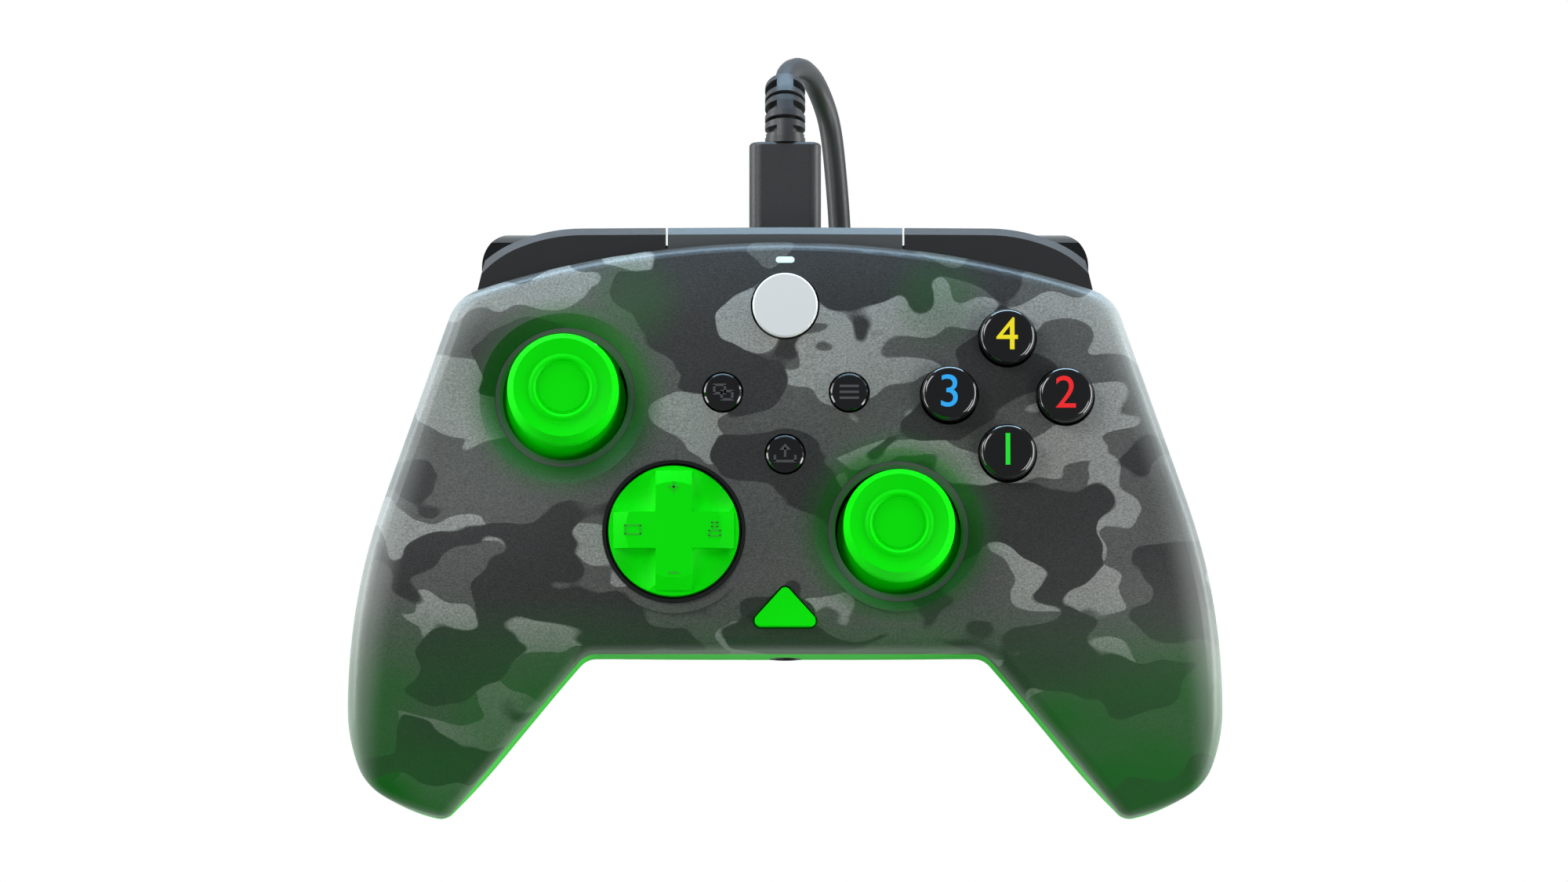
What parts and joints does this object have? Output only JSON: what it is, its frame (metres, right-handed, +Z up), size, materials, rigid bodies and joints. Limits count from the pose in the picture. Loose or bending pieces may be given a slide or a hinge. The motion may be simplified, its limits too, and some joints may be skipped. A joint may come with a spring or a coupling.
{
  "type": "gamepad controller",
  "caption": "Wired two-handed gamepad with tilting sticks, a direction pad, face buttons, bumpers, triggers, rear paddles and a plug-in cable",
  "frame": {"origin": "on the ground under the middle of the gamepad's width and depth, its cable left out", "axes": "+X to the player's right, +Y away from the player towards the cable port, +Z up out of the face"},
  "size_m": [0.155, 0.1378, 0.0564],
  "materials": {
    "smoke_shell": "translucent, printed camouflage",
    "green_shell": "translucent",
    "black_gloss": "polished",
    "green_trim": "satin",
    "clear_ring": "clear",
    "white_trim": "satin",
    "steel": "plain",
    "weight_metal": "turned",
    "module_plastic": "matt",
    "board": "lacquered",
    "sheet_rubber": "matt",
    "cable_rubber": "matt"
  },
  "bodies": {
    "housing": {"front_shell": "smoke_shell", "back_shell": "green_shell", "top_bridge": "black_gloss", "pad_ring": "black_gloss", "pad_post": "module_plastic", "pad_sheet": "sheet_rubber", "button_sheet": "sheet_rubber", "button_board": "board", "main_board": "board", "centre_switches": "module_plastic", "bumper_switches": "module_plastic", "paddle_switches": "module_plastic", "status_light": "clear_ring", "usb_socket": "steel", "headset_jack": "module_plastic", "shell_screws": "steel", "board_screws": "steel", "left_motor": "steel", "right_motor": "steel", "left_stick_module": "module_plastic", "right_stick_module": "module_plastic", "left_stick_ring": "clear_ring", "right_stick_ring": "clear_ring", "trigger_pins": "steel", "trigger_springs": "steel"},
    "left_bumper": {"left_bumper": "black_gloss"},
    "right_bumper": {"right_bumper": "black_gloss"},
    "left_trigger": {"left_trigger": "black_gloss"},
    "right_trigger": {"right_trigger": "black_gloss"},
    "left_stick_gimbal": {"left_stick_yoke": "steel"},
    "left_stick_lever": {"left_stick_post": "steel"},
    "left_stick_cap": {"left_stick_cap": "green_trim"},
    "right_stick_gimbal": {"right_stick_yoke": "steel"},
    "right_stick_lever": {"right_stick_post": "steel"},
    "right_stick_cap": {"right_stick_cap": "green_trim"},
    "pad_pivot": {"pad_spider": "module_plastic"},
    "direction_pad": {"direction_pad": "green_trim"},
    "button_top": {"button_top": "black_gloss"},
    "button_left": {"button_left": "black_gloss"},
    "button_right": {"button_right": "black_gloss"},
    "button_bottom": {"button_bottom": "black_gloss"},
    "guide_button": {"guide_button": "white_trim"},
    "view_button": {"view_button": "black_gloss"},
    "menu_button": {"menu_button": "black_gloss"},
    "share_button": {"share_button": "black_gloss"},
    "function_button": {"function_button": "green_trim"},
    "left_paddle": {"left_paddle": "black_gloss"},
    "right_paddle": {"right_paddle": "black_gloss"},
    "left_weight": {"left_motor_weight": "weight_metal"},
    "right_weight": {"right_motor_weight": "weight_metal"},
    "cable": {"usb_plug": "cable_rubber", "usb_plug_tongue": "steel", "strain_relief": "cable_rubber", "cable_lead": "cable_rubber", "cable_coil": "cable_rubber", "cable_tail": "cable_rubber", "cable_tie": "cable_rubber", "end_plug": "cable_rubber", "end_plug_shell": "steel"}
  },
  "joints": [
    {"name": "left_bumper_press", "type": "hinge", "parent": "housing", "child": "left_bumper", "pos_m": [-0.0244, 0.04652, 0.0344], "axis": [0, 0, 1], "range_deg": [0, 1.6], "stiffness_Nm_per_rad": 0.8, "springref_deg": -1.15},
    {"name": "right_bumper_press", "type": "hinge", "parent": "housing", "child": "right_bumper", "pos_m": [0.0244, 0.04652, 0.0344], "axis": [0, 0, 1], "range_deg": [-1.6, 0], "stiffness_Nm_per_rad": 0.8, "springref_deg": 1.15},
    {"name": "left_trigger_pull", "type": "hinge", "parent": "housing", "child": "left_trigger", "pos_m": [-0.0441, 0.03463, 0.0255], "axis": [1, 0, 0], "range_deg": [-17, 0], "stiffness_Nm_per_rad": 0.06, "springref_deg": 17.19},
    {"name": "right_trigger_pull", "type": "hinge", "parent": "housing", "child": "right_trigger", "pos_m": [0.0441, 0.03463, 0.0255], "axis": [1, 0, 0], "range_deg": [-17, 0], "stiffness_Nm_per_rad": 0.06, "springref_deg": 17.19},
    {"name": "left_stick_tilt_y", "type": "hinge", "parent": "housing", "child": "left_stick_gimbal", "pos_m": [-0.039, 0.02022, 0.035], "axis": [1, 0, 0], "range_deg": [-14, 14], "stiffness_Nm_per_rad": 0.03},
    {"name": "left_stick_tilt_x", "type": "hinge", "parent": "left_stick_gimbal", "child": "left_stick_lever", "pos_m": [-0.039, 0.02022, 0.035], "axis": [0, 1, 0], "range_deg": [-14, 14], "stiffness_Nm_per_rad": 0.03},
    {"name": "left_stick_click", "type": "slide", "parent": "left_stick_lever", "child": "left_stick_cap", "axis": [0, 0, -1], "range_m": [0, 0.0005], "stiffness_N_per_m": 1500, "springref_m": -0.0005},
    {"name": "right_stick_tilt_y", "type": "hinge", "parent": "housing", "child": "right_stick_gimbal", "pos_m": [0.02, -0.00378, 0.035], "axis": [1, 0, 0], "range_deg": [-14, 14], "stiffness_Nm_per_rad": 0.03},
    {"name": "right_stick_tilt_x", "type": "hinge", "parent": "right_stick_gimbal", "child": "right_stick_lever", "pos_m": [0.02, -0.00378, 0.035], "axis": [0, 1, 0], "range_deg": [-14, 14], "stiffness_Nm_per_rad": 0.03},
    {"name": "right_stick_click", "type": "slide", "parent": "right_stick_lever", "child": "right_stick_cap", "axis": [0, 0, -1], "range_m": [0, 0.0005], "stiffness_N_per_m": 1500, "springref_m": -0.0005},
    {"name": "pad_rock_y", "type": "hinge", "parent": "housing", "child": "pad_pivot", "pos_m": [-0.0196, -0.00387, 0.0442], "axis": [1, 0, 0], "range_deg": [-6, 6], "stiffness_Nm_per_rad": 0.1},
    {"name": "pad_rock_x", "type": "hinge", "parent": "pad_pivot", "child": "direction_pad", "pos_m": [-0.0196, -0.00387, 0.0442], "axis": [0, 1, 0], "range_deg": [-6, 6], "stiffness_Nm_per_rad": 0.1},
    {"name": "button_top_press", "type": "slide", "parent": "housing", "child": "button_top", "axis": [0, 0, -1], "range_m": [0, 0.0012], "stiffness_N_per_m": 300, "springref_m": -0.001},
    {"name": "button_left_press", "type": "slide", "parent": "housing", "child": "button_left", "axis": [0, 0, -1], "range_m": [0, 0.0012], "stiffness_N_per_m": 300, "springref_m": -0.001},
    {"name": "button_right_press", "type": "slide", "parent": "housing", "child": "button_right", "axis": [0, 0, -1], "range_m": [0, 0.0012], "stiffness_N_per_m": 300, "springref_m": -0.001},
    {"name": "button_bottom_press", "type": "slide", "parent": "housing", "child": "button_bottom", "axis": [0, 0, -1], "range_m": [0, 0.0012], "stiffness_N_per_m": 300, "springref_m": -0.001},
    {"name": "guide_button_press", "type": "slide", "parent": "housing", "child": "guide_button", "axis": [0, 0, -1], "range_m": [0, 0.0007], "stiffness_N_per_m": 600, "springref_m": -0.0005},
    {"name": "view_button_press", "type": "slide", "parent": "housing", "child": "view_button", "axis": [0, 0, -1], "range_m": [0, 0.0007], "stiffness_N_per_m": 600, "springref_m": -0.0005},
    {"name": "menu_button_press", "type": "slide", "parent": "housing", "child": "menu_button", "axis": [0, 0, -1], "range_m": [0, 0.0007], "stiffness_N_per_m": 600, "springref_m": -0.0005},
    {"name": "share_button_press", "type": "slide", "parent": "housing", "child": "share_button", "axis": [0, 0, -1], "range_m": [0, 0.0007], "stiffness_N_per_m": 600, "springref_m": -0.0005},
    {"name": "function_button_press", "type": "slide", "parent": "housing", "child": "function_button", "axis": [0, 0, -1], "range_m": [0, 0.0007], "stiffness_N_per_m": 600, "springref_m": -0.0005},
    {"name": "left_paddle_press", "type": "slide", "parent": "housing", "child": "left_paddle", "axis": [0, 0, 1], "range_m": [0, 0.0009], "stiffness_N_per_m": 800, "springref_m": -0.0008},
    {"name": "right_paddle_press", "type": "slide", "parent": "housing", "child": "right_paddle", "axis": [0, 0, 1], "range_m": [0, 0.0009], "stiffness_N_per_m": 800, "springref_m": -0.0008},
    {"name": "left_motor_spin", "type": "hinge", "parent": "housing", "child": "left_weight", "pos_m": [-0.057, -0.02287, 0.0205], "axis": [0, 1, 0], "continuous": true},
    {"name": "right_motor_spin", "type": "hinge", "parent": "housing", "child": "right_weight", "pos_m": [0.057, -0.02287, 0.0205], "axis": [0, 1, 0], "continuous": true},
    {"name": "cable_plug_slide", "type": "slide", "parent": "housing", "child": "cable", "axis": [0, 1, 0], "range_m": [0, 0.008]}
  ]
}
